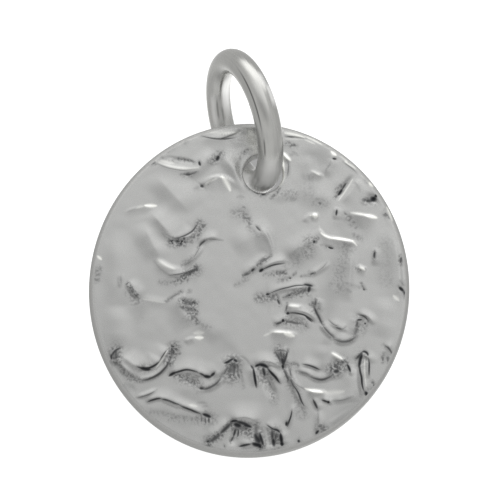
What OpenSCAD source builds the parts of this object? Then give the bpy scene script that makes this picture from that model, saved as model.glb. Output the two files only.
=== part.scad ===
// Round hammered charm lying on a surface, with its jump ring under its top edge.
// The charm's own y axis runs from its middle to its hole.

/* [Disc] */
// Width of the disc across the hole's axis
disc_width = 17.3; // [12:0.1:22]
// Height of the disc along the hole's axis
disc_height = 18.3; // [12:0.1:22]
// Thickness of the sheet, without the hammered folds
disc_thickness = 1.0; // [0.8:0.05:1.5]
// Radius of the rounding on both edges of the rim
edge_radius = 0.3; // [0.1:0.05:0.4]
// Diameter of the hole
hole_diameter = 2.2; // [2.2:0.1:3]
// Distance from the disc's middle to the hole's middle
hole_distance = 6.3; // [6.1:0.1:6.4]
// How strongly the folds stand out: 1 is as hammered, 0 is smooth
fold_strength = 1; // [0:0.1:1.2]

/* [Jump ring] */
// Outside diameter of the ring
ring_outside = 8.2; // [8:0.1:8.6]
// Diameter of the ring's wire
wire_diameter = 1.38; // [1.2:0.02:1.42]

/* [Resting pose] */
// How far the disc's top is tipped up, in degrees
disc_pitch = 10.2; // [9:0.1:11]
// How far the disc leans to its right, in degrees
disc_roll = 3.0; // [0:0.1:5]
// How far the ring leans over from upright, in degrees
ring_lean = 12.8; // [11:0.1:15]
// How far the ring's axle is turned away from the x axis, in degrees
ring_turn = 28.7; // [26:0.1:31]
// Ring's middle, to the right of the disc's middle
ring_right = -1.37; // [-1.45:0.01:-1.25]
// Ring's middle, beyond the disc's middle towards the hole
ring_beyond = 8.97; // [8.92:0.01:9.12]

/* [Hidden] */

// Folds of the hammered face. Each row is one crest that follows an arc:
// x, y of its start, heading in degrees, length, bend in degrees (left is positive),
// height (negative is a groove), width on its left side, width on its right side
X = 0;
Y = 1;
HEADING = 2;
LENGTH = 3;
BEND = 4;
HEIGHT = 5;
LEFT = 6;
RIGHT = 7;
FOLDS = [
    // upper left
    [-6.0, 6.2, -25, 2.6, 45, 0.14, 0.35, 0.50],
    [-6.0, 5.8, -46, 3.3, 4, 0.14, 0.90, 0.45],
    [-7.3, 3.1, 38, 2.0, -42, 0.12, 0.35, 0.40],
    [-5.9, 3.5, -44, 2.1, 4, 0.14, 0.90, 0.50],
    [-3.2, 5.0, 72, 2.5, -135, 0.14, 0.40, 0.50],
    [-5.0, 2.4, -45, 2.2, 108, 0.18, 0.65, 0.35],
    // left
    [-5.1, 0.9, -48, 2.3, 75, 0.14, 0.40, 0.50],
    [-4.6, 0.0, 2, 2.0, 40, 0.16, 0.45, 0.35],
    [-2.9, 1.8, 72, 1.2, -80, 0.12, 0.40, 0.40],
    [-6.6, -0.6, -52, 1.3, 15, 0.14, 0.50, 0.35],
    [-3.9, -0.8, -68, 2.2, 15, 0.14, 0.60, 0.60],
    // lower left
    [-6.9, -4.1, -65, 2.2, 42, 0.14, 0.45, 0.40],
    [-5.6, -5.0, -26, 1.7, 95, 0.18, 0.80, 0.35],
    [-5.5, -5.8, 0, 2.9, 92, 0.14, 0.35, 0.35],
    [-3.7, -5.4, 48, 1.9, -74, 0.14, 0.50, 0.35],
    [-4.0, -6.6, -8, 2.9, -12, 0.14, 0.50, 0.35],
    // bottom
    [-1.5, -5.2, 40, 1.4, 5, 0.14, 0.55, 0.40],
    [0.6, -4.4, 55, 1.8, -105, 0.16, 0.40, 0.35],
    [1.4, -4.3, -38, 1.2, -6, 0.14, 0.50, 0.35],
    [-1.4, -8.4, 42, 2.0, 16, 0.14, 0.35, 0.35],
    [-0.2, -7.5, 55, 1.8, -100, 0.18, 0.55, 0.35],
    [1.6, -7.3, -32, 1.3, -30, 0.14, 0.50, 0.35],
    // lower right
    [2.2, -4.2, -62, 2.7, 15, 0.16, 0.45, 0.35],
    [1.2, -2.4, 10, 1.7, -16, 0.14, 0.35, 0.45],
    [3.6, -4.4, -32, 1.6, 92, 0.16, 0.55, 0.35],
    [3.7, -1.6, -52, 1.4, 20, 0.16, 0.50, 0.35],
    [4.7, -2.4, -28, 1.6, 100, 0.18, 0.50, 0.35],
    [6.3, -2.8, -94, 2.6, 24, 0.14, 0.35, 0.35],
    // upper right
    [0.3, 0.7, 54, 1.9, -50, 0.14, 0.35, 0.35],
    [0.9, -0.4, 30, 3.0, -34, 0.16, 0.40, 0.35],
    [2.0, -1.4, 44, 2.0, -94, 0.14, 0.35, 0.35],
    [5.3, 2.8, -92, 3.2, 6, 0.12, 0.35, 0.90],
    [3.5, 3.2, -10, 2.1, 4, 0.16, 0.35, 0.45],
    [4.9, 4.7, 2, 1.8, -4, 0.14, 0.35, 0.45],
    [4.1, 5.2, 62, 1.8, 2, -0.12, 0.30, 0.30],
];

// Rings and points of the face's mesh, and steps across each rounded edge
face_rings = 28;
sectors = 6;
rim_points = sectors * face_rings;
edge_steps = 2;
// The folds fade out over this share of the radius before the rim
rim_fade = 0.08;
// Around the hole the face is flat as far as this, and the folds are whole at the second one
hole_flat = 1.5;
hole_fade = 2.2;
round_steps = 96;
cut_margin = 1;

half_width = disc_width / 2 - edge_radius;
half_height = disc_height / 2 - edge_radius;
half_thickness = disc_thickness / 2;
wire_radius = wire_diameter / 2;
ring_radius = ring_outside / 2 - wire_radius;

function smooth(t) = let (u = min(1, max(0, t))) u * u * (3 - 2 * u);
function between(angle) = angle - 360 * round(angle / 360);

// Offset to the left of a fold's path and the distance along it, by the circle that its arc lies on
function along_fold(f, x, y) =
    let (
        turn = f[BEND] < 0 ? -1 : 1,
        radius = f[LENGTH] / (abs(f[BEND]) * PI / 180),
        cx = f[X] - turn * radius * sin(f[HEADING]),
        cy = f[Y] + turn * radius * cos(f[HEADING]),
        middle = f[HEADING] - turn * 90 + f[BEND] / 2,
        swept = turn * between(atan2(y - cy, x - cx) - middle)
    )
    [turn * (radius - norm([x - cx, y - cy])), f[LENGTH] / 2 + swept * PI / 180 * radius];

function fold_height(f, x, y) =
    let (
        place = along_fold(f, x, y),
        width = place[0] > 0 ? f[LEFT] : f[RIGHT],
        end = abs(2 * place[1] / f[LENGTH] - 1)
    )
    end >= 1 ? 0 : f[HEIGHT] * (1 - pow(end, 3)) * exp(-pow(place[0] / width, 2));

function total(list, i = 0) = i == len(list) ? 0 : list[i] + total(list, i + 1);

// Height of the hammered face above the plain sheet, where share is the part of the way to the rim
function relief(x, y, share) =
    let (
        clear_of_rim = smooth((1 - share) / rim_fade),
        clear_of_hole = smooth((norm([x, y - hole_distance]) - hole_flat) / (hole_fade - hole_flat))
    )
    fold_strength * clear_of_rim * clear_of_hole * total([for (f = FOLDS) fold_height(f, x, y)]);

// Points of the disc: the face from the middle out, then each step of the edge down to the back
function face_point(ring, i) =
    let (
        angle = ring == 0 ? 0 : 360 * i / (sectors * ring),
        share = ring / face_rings,
        x = half_width * share * cos(angle),
        y = half_height * share * sin(angle)
    )
    [x, y, half_thickness + relief(x, y, share)];

function edge_point(out, z, i) =
    let (angle = 360 * i / rim_points)
    [(half_width + out) * cos(angle), (half_height + out) * sin(angle), z];

edge_profile = concat(
    [for (s = [1 : edge_steps])
        [edge_radius * sin(90 * s / edge_steps),
         half_thickness - edge_radius * (1 - cos(90 * s / edge_steps))]],
    [for (s = [edge_steps : -1 : 0])
        [edge_radius * sin(90 * s / edge_steps),
         -half_thickness + edge_radius * (1 - cos(90 * s / edge_steps))]]
);

disc_points = concat(
    [face_point(0, 0)],
    [for (ring = [1 : face_rings], i = [0 : sectors * ring - 1]) face_point(ring, i)],
    [for (p = edge_profile, i = [0 : rim_points - 1]) edge_point(p[0], p[1], i)]
);

// First point of a ring of the face, and a point of a ring by its place, which runs round
function ring_start(ring) = ring == 0 ? 0 : 1 + sectors * ring * (ring - 1) / 2;
function ring_point(ring, i) = ring == 0 ? 0 : ring_start(ring) + i % (sectors * ring);
function edge_start(row) = ring_start(face_rings) + rim_points * row;
function edge_index(row, i) = edge_start(row) + i % rim_points;

face_triangles = [
    for (ring = [1 : face_rings], s = [0 : sectors - 1], i = [0 : ring - 1])
        each concat(
            [[ring_point(ring, s * ring + i),
              ring_point(ring - 1, s * (ring - 1) + i),
              ring_point(ring, s * ring + i + 1)]],
            i == ring - 1 ? [] :
            [[ring_point(ring - 1, s * (ring - 1) + i),
              ring_point(ring - 1, s * (ring - 1) + i + 1),
              ring_point(ring, s * ring + i + 1)]]
        )
];

edge_quads = [
    for (row = [0 : len(edge_profile) - 1], i = [0 : rim_points - 1])
        each [[edge_index(row, i), edge_index(row, i + 1), edge_index(row + 1, i + 1)],
              [edge_index(row, i), edge_index(row + 1, i + 1), edge_index(row + 1, i)]]
];

back_face = [[for (i = [0 : rim_points - 1]) edge_index(len(edge_profile), i)]];

// The disc's own directions as it rests, and how far it reaches along any direction
disc_x = [cos(disc_roll), sin(disc_pitch) * sin(disc_roll), -cos(disc_pitch) * sin(disc_roll)];
disc_y = [0, cos(disc_pitch), sin(disc_pitch)];
disc_z = cross(disc_x, disc_y);
function reach(direction) =
    norm([half_width * direction * disc_x, half_height * direction * disc_y])
    + (half_thickness - edge_radius) * abs(direction * disc_z) + edge_radius;

ring_axle_y = cos(ring_lean) * sin(ring_turn);
ring_rise = ring_radius * cos(ring_lean) + wire_radius;
ring_reach_y = ring_radius * sqrt(1 - pow(ring_axle_y, 2)) + wire_radius;
// Shift that centres the whole charm over the origin
centre_y = (reach([0, 1, 0]) - ring_beyond - ring_reach_y) / 2;

module coin_disc() {
    color("silver")
    translate([0, centre_y, reach([0, 0, 1])])
    rotate([disc_pitch, 0, 0])
    rotate([0, disc_roll, 0])
    difference() {
        polyhedron(disc_points, concat(face_triangles, edge_quads, back_face));
        translate([0, hole_distance, -half_thickness - cut_margin])
        cylinder(d = hole_diameter, h = disc_thickness + 2 * cut_margin, $fn = round_steps);
    }
}

module jump_ring() {
    color("lightgray")
    translate([ring_right, centre_y + ring_beyond, ring_rise])
    rotate([0, 0, ring_turn])
    rotate([0, 90 + ring_lean, 0])
    rotate_extrude($fn = round_steps)
    translate([ring_radius, 0])
    circle(r = wire_radius, $fn = round_steps);
}

coin_disc();
jump_ring();
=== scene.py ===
"""Looks of a hammered silver coin charm that lies on a pale surface, with its jump ring.

Sizes and places are millimetres, which MM turns into metres. Places on the disc are its own x and y
from its middle, with y towards the hole and z out of the hammered face.
"""

import math

import bmesh
import bpy
import numpy as np
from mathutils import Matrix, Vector


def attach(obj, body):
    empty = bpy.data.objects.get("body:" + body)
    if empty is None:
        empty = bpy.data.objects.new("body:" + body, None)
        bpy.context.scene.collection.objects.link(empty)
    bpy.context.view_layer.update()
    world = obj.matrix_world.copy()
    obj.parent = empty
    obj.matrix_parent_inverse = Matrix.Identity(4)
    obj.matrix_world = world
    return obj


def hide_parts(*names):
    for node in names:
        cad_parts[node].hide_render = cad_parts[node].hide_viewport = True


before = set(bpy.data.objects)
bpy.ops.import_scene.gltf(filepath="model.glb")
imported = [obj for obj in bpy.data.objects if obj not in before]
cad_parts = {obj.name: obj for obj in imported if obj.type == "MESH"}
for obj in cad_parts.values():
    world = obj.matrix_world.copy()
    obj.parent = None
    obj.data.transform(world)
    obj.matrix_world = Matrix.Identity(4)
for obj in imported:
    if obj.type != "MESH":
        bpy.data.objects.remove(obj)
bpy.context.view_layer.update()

MM = 0.001

# Sizes of the disc, as in the CAD part. Only the hole's rounded lip is added here.
DISC_WIDTH = 17.3
DISC_HEIGHT = 18.3
DISC_THICKNESS = 1.0
EDGE_RADIUS = 0.3
HOLE_RADIUS = 1.1
HOLE_DISTANCE = 6.3
LIP_RADIUS = 0.08
DISC_PITCH = 10.2
DISC_ROLL = 3.0
DISC_CENTRE = (0, -1.812, 2.122)
# Half the width and height of the face inside its rounded edge
FLAT_X = DISC_WIDTH / 2 - EDGE_RADIUS
FLAT_Y = DISC_HEIGHT / 2 - EDGE_RADIUS

# Sizes of the jump ring, as in the CAD part
RING_CENTRE = (-1.37, 7.158, 4.015)
RING_RADIUS = 3.41
RING_LEAN = 12.8
RING_TURN = 28.7

# Mesh of the face: rings of small triangles from the middle to the rim
FACE_RINGS = 164
SECTORS = 6
TOP_EDGE_STEPS = 6
BACK_EDGE_STEPS = 3
LIP_STEPS = 4

# How far the folds die away before the rim, as a share of the radius, and round the hole
RIM_FADE = 0.035
HOLE_FADE = 0.5
# A fold reaches this many of its widths, but on the inside of its arc no further than this share
# of the arc's radius. It sinks over this share of its half length to each end.
FOLD_REACH = 1.75
INNER_REACH = 0.93
END_FADE = 0.75
# Folds and strokes are worked out in boxes that go this far beyond their reach
BOX_MARGIN = 0.15
# How round the top of a sharp crest is
CREST_ROUNDING = 0.05
# How deep a crease is for its width, and how high and wide the sheet's unevenness is
CREASE_DEPTH = 0.25
UNEVENNESS = 0.01
UNEVEN_SIZE = 0.9

# Distance to a painted stroke counts in its half widths, and is FAR beyond its reach
STROKE_REACH = 2.8
FAR = 9.0
# How much narrower dark and bright strokes get towards their ends
DARK_TAPER = 0.45
BRIGHT_TAPER = 0.5
# How much paler a clean dark line gets towards its ends, and how far hatching spreads beside it
END_PALENESS = 0.5
HATCH_SPREAD = 1.5
# Dark strokes waver by this much, in waves of this size
WAVER = 0.05
WAVER_SIZE = 0.4
# The edges are shaded as if a dark line lay at a distance, which grows by up to this much away
# from their darkest place. At BACK_SHADE it doesn't show.
SHADE_RISE = 2
BACK_SHADE = 4.0
# The rim's faint shade: its least distance, and the share of the rounded edge where it lies
RIM_SHADE = 1.6
RIM_SHADE_PLACE = 0.42
# The lip's dark stretch: its least distance, then in degrees its place round the hole, how far it
# goes to each side and how far it takes to fade
LIP_SHADE = 0.95
LIP_SHADE_PLACE = -110
LIP_SHADE_SPAN = 24
LIP_SHADE_FADE = 60

# Camera, as the photograph is taken, with its angles in degrees
CAMERA_ELEVATION = 67.5
CAMERA_AZIMUTH = 6.6
CAMERA_DISTANCE = 82.2
CAMERA_TARGET = (-0.29, 0.885, 2.0)
CAMERA_LENS = 107.8

# Painted shadow on the floor, a spot in the disc's shade that shows through the hole: its middle is
# this far towards the back, and it fades between these radii
SHADE_MIDDLE = 5.7
SHADE_RADII = (1.9, 2.8)

# Brightness of the surroundings: overhead, low in front, of the floor at the right, of the window
OVERHEAD_LIGHT = 0.89
FRONT_LIGHT = 0.74
FLOOR_GLOW = 0.75
WINDOW_LIGHT = 1.05

# Colours of the silver and the wire, of tarnish and painted shade in the creases, and of painted
# highlights and painted shade
FACE_COLOUR = (0.488, 0.489, 0.485, 1)
RIM_COLOUR = (0.58, 0.58, 0.572, 1)
CREASE_TARNISH_AND_SHADE_COLOUR = (0.026, 0.027, 0.03, 1)
GLINT_PAINT_COLOUR = (1, 1, 0.96, 1)
WIRE_COLOUR = (0.52, 0.52, 0.507, 1)
DRAWN_COLOUR = (0.57, 0.57, 0.553, 1)
PAINTED_HIGHLIGHT_COLOUR = (1, 1, 0.99, 1)
PAINTED_SHADE_COLOUR = (0.06, 0.06, 0.058, 1)

# Painted highlights and painted shade, with painted dark reflections, on stretches of the ring's
# wire. Columns: start, end, place, width, tone. Start and end are places round the ring from its
# top, positive towards the far limb. Place is where the mark lies round the wire, from the ring's
# outside, and width is half its width there, all in degrees. Tone is above 0 for a painted
# highlight, where the silver is lighter, and below 0 for painted shade, where it is darker.
WIRE_HIGHLIGHT_AND_SHADE_MARKS = [
    (-46, 26, -56, 3, -0.75),
    (-62, -42, -52, 3, -0.6),
    (66, 152, 165, 21, 1),
    (108, 156, -150, 26, 0.6),
    (114, 148, -150, 4, -0.45),
    (126, 152, -172, 4, -0.35),
    (-110, -55, -20, 50, 0.7),
    (-24, 2, 40, 14, 1),
    (-10, 12, 26, 10, 0.6),
    (-150, -60, -115, 40, 0.5),
    (-130, -80, -65, 35, 0.9),
    (-180, -115, 165, 40, -0.45),
]

# The tables of the face are in hundredths, of a millimetre for sizes and places. Only these two
# columns, heading and bend, are in degrees.
ANGLE_COLUMNS = (2, 4)
# The tables count y from this far below the disc's middle
TABLE_SHIFT = 0.25

# Folds of the hammered face. Columns: x, y, heading, length, bend, height, left, right, crest. Each
# follows an arc from its start point. Bend is the arc's turn, positive to the left. Height is
# positive for a crest and negative for a valley. Left and right are its widths to each side, and
# crest is 100 where its top is a sharp edge and 0 where it is round.
FOLDS = [
    # upper left and top
    (-600, 650, -25, 260, 45, 5.5, 24, 50, 100),
    (-580, 685, -5, 240, 0, -2, 12, 12, 0),
    (-600, 590, -42, 320, 2, 10, 100, 65, 50),
    (-730, 335, 38, 200, -42, 2.5, 10, 28, 70),
    (-590, 375, -44, 210, 4, 11, 95, 50, 70),
    (-325, 530, 72, 250, -135, 6, 14, 60, 80),
    (-400, 575, 50, 220, 6, 9, 45, 32, 40),
    (-255, 750, -42, 290, -12, 10, 50, 38, 50),
    (-375, 826, -12, 200, 32, 3.5, 16, 35, 80),
    (-505, 270, -45, 220, 108, 7, 65, 10, 100),
    # bottom
    (-150, -495, 40, 140, 5, 6, 55, 20, 80),
    (-95, -410, 38, 90, -85, 6, 35, 12, 100),
    (-210, -562, 0, 190, 75, 5, 40, 14, 90),
    (50, -400, -50, 130, -35, 6, 12, 30, 100),
    (65, -415, 55, 180, -105, 8, 40, 12, 100),
    (140, -405, -38, 120, -6, 6, 50, 12, 100),
    (125, -425, -62, 160, 3, -6, 20, 30, 30),
    (-145, -840, 42, 200, 16, 7, 30, 14, 100),
    (-25, -725, 55, 180, -100, 9, 60, 14, 100),
    (10, -730, -98, 110, 0, -6, 25, 15, 40),
    (135, -730, -78, 120, 10, 6, 14, 35, 100),
    (45, -842, 30, 120, -25, 6, 30, 12, 100),
    (160, -700, -32, 130, -30, 7, 50, 13, 100),
    (245, -730, -70, 90, -4, 6, 30, 12, 100),
    (195, -720, -80, 110, -5, -5, 20, 20, 50),
    (302, -570, -90, 150, -14, 5, 16, 20, 100),
    # lower right
    (195, -275, -70, 130, 12, 5, 30, 30, 30),
    (225, -390, -60, 270, 8, 3.5, 40, 12, 100),
    (255, -385, -80, 150, 50, 4, 14, 16, 90),
    (125, -217, 10, 170, -16, 7, 12, 45, 100),
    (315, -366, 4, 120, -30, 5, 35, 10, 100),
    (300, -402, 4, 100, -38, 5, 35, 14, 90),
    (365, -418, -32, 160, 92, 6, 55, 13, 90),
    (355, -502, -6, 120, 16, 7, 13, 35, 100),
    (396, -535, -52, 80, -10, 5, 30, 12, 100),
    (428, -590, -68, 160, -42, 4, 28, 20, 80),
    (445, -540, -2, 70, -22, 5, 30, 10, 100),
    (500, -542, 8, 140, 24, 4, 35, 14, 90),
    (465, -280, -32, 110, 12, 7, 11, 40, 100),
    (558, -330, -56, 80, -8, 5, 25, 10, 100),
    (455, -410, 42, 120, -60, 5, 45, 28, 60),
    (395, -130, -54, 120, 24, 5, 45, 14, 90),
    (475, -210, -28, 160, 100, 7, 55, 14, 90),
    (633, -250, -94, 280, 24, 8, 25, 12, 100),
    (672, -275, -88, 130, 8, 5, 12, 35, 90),
    (602, -310, 68, 130, -150, 5, 28, 12, 90),
    (745, -208, -10, 120, -80, 5, 35, 14, 90),
    (490, -685, 38, 180, 4, 4, 20, 30, 50),
    (430, -240, -86, 160, 6, 5, 50, 50, 30),
    (600, -340, -95, 200, 10, 5, 50, 50, 30),
    # left middle
    (-620, 310, -62, 250, 10, 9, 50, 60, 40),
    (-525, 125, -52, 190, 70, 5, 18, 50, 90),
    (-460, 28, 2, 200, 40, 4, 16, 10, 100),
    (-375, 90, 30, 190, 50, 5, 25, 12, 80),
    (-290, 210, 72, 120, -80, 5, 30, 15, 80),
    (-698, 15, -87, 90, 3, 3, 12, 12, 80),
    (-665, -30, -52, 130, 15, 7, 45, 14, 90),
    (-570, -110, -8, 160, 12, 2, 20, 30, 80),
    (-390, -50, -68, 220, 15, 7, 60, 60, 40),
    (-270, -190, -30, 180, -5, 3, 60, 40, 40),
    (-740, 260, -87, 460, 4, 5, 70, 50, 0),
    # lower left
    (-695, -385, -65, 220, 42, 7, 45, 25, 60),
    (-630, -425, -42, 130, 25, 6, 50, 20, 50),
    (-560, -472, -26, 170, 95, 9, 85, 12, 100),
    (-450, -470, 56, 130, 10, 7, 60, 12, 100),
    (-550, -550, 0, 290, 92, 6, 17, 12, 100),
    (-375, -515, 48, 190, -74, 7, 50, 11, 100),
    (-250, -468, -10, 120, -8, 6, 50, 12, 100),
    (-360, -560, -10, 220, 15, 2, 40, 40, 30),
    (-475, -668, 48, 130, -65, 6, 40, 11, 100),
    (-400, -636, -6, 120, -20, 6, 40, 11, 100),
    (-340, -642, -16, 200, 4, 5, 30, 11, 100),
    (-535, -643, 14, 130, 28, 4, 14, 10, 100),
    (-315, -322, 42, 70, -30, 3, 12, 20, 80),
    (-690, -160, -85, 240, 5, 5, 60, 60, 0),
    # middle and right
    (-45, 75, 46, 200, -4, 5, 30, 25, 70),
    (35, 100, 54, 190, -50, 6, 30, 12, 100),
    (90, -16, 30, 300, -34, 6, 35, 13, 100),
    (180, -32, 50, 150, -38, 5, 30, 14, 90),
    (202, -114, 42, 210, -96, 6, 30, 12, 100),
    (200, -63, 4, 100, -4, 6, 12, 30, 100),
    (150, -174, 36, 90, 5, 5, 30, 14, 90),
    (175, 200, 50, 230, -30, 9, 50, 75, 70),
    (-120, 210, 42, 260, -6, 6, 70, 70, 30),
    (12, 355, -34, 190, -58, 5, 14, 50, 90),
    (530, 310, -92, 320, 6, 8, 30, 100, 90),
    (305, 120, 20, 150, 38, 4, 20, 14, 90),
    (362, 10, -98, 90, 30, 5, 40, 14, 90),
    (445, -115, -42, 120, 50, 4, 30, 12, 90),
    (560, -185, 66, 130, 10, 6, 45, 16, 90),
    (590, -70, 30, 120, -110, 5, 25, 14, 90),
    (566, 210, -44, 60, 48, 6, 10, 30, 100),
    (656, 320, -93, 110, 2, 5, 35, 14, 90),
    (810, 460, -82, 460, -12, 7, 30, 110, 50),
    (730, 60, -88, 240, -8, 5, 60, 60, 30),
    # upper right
    (333, 388, -66, 95, 60, 3.5, 11, 35, 100),
    (362, 342, -6, 210, 2, 6.5, 12, 45, 100),
    (283, 450, 8, 50, 0, 7, 12, 25, 100),
    (250, 405, 78, 80, -60, 3, 12, 25, 90),
    (490, 484, 0, 170, -6, 6, 12, 45, 100),
    (410, 550, 62, 180, 2, -6, 16, 12, 60),
    (445, 535, 58, 190, 6, 5, 14, 60, 80),
    (338, 670, 72, 140, -4, 5, 30, 35, 80),
    (255, 702, -18, 90, -4, 5, 10, 30, 100),
    (350, 827, -28, 50, 0, 5, 9, 25, 100),
    (570, 572, 20, 90, 0, -5, 30, 30, 0),
    (695, 555, -58, 110, -6, 5, 10, 30, 90),
    (170, 600, -18, 240, 8, 5, 70, 60, 30),
    (420, 520, -95, 80, 6, 4, 30, 12, 90),
    (230, 790, -80, 160, 10, 4, 40, 50, 30),
    # round the hole
    (-275, 820, 18, 160, 25, 4, 30, 12, 90),
    (-210, 805, 8, 160, 4, 3, 40, 25, 50),
    (85, 784, -40, 80, 0, 5, 13, 20, 100),
    (45, 520, 12, 180, 14, 3, 30, 30, 40),
]
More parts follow.
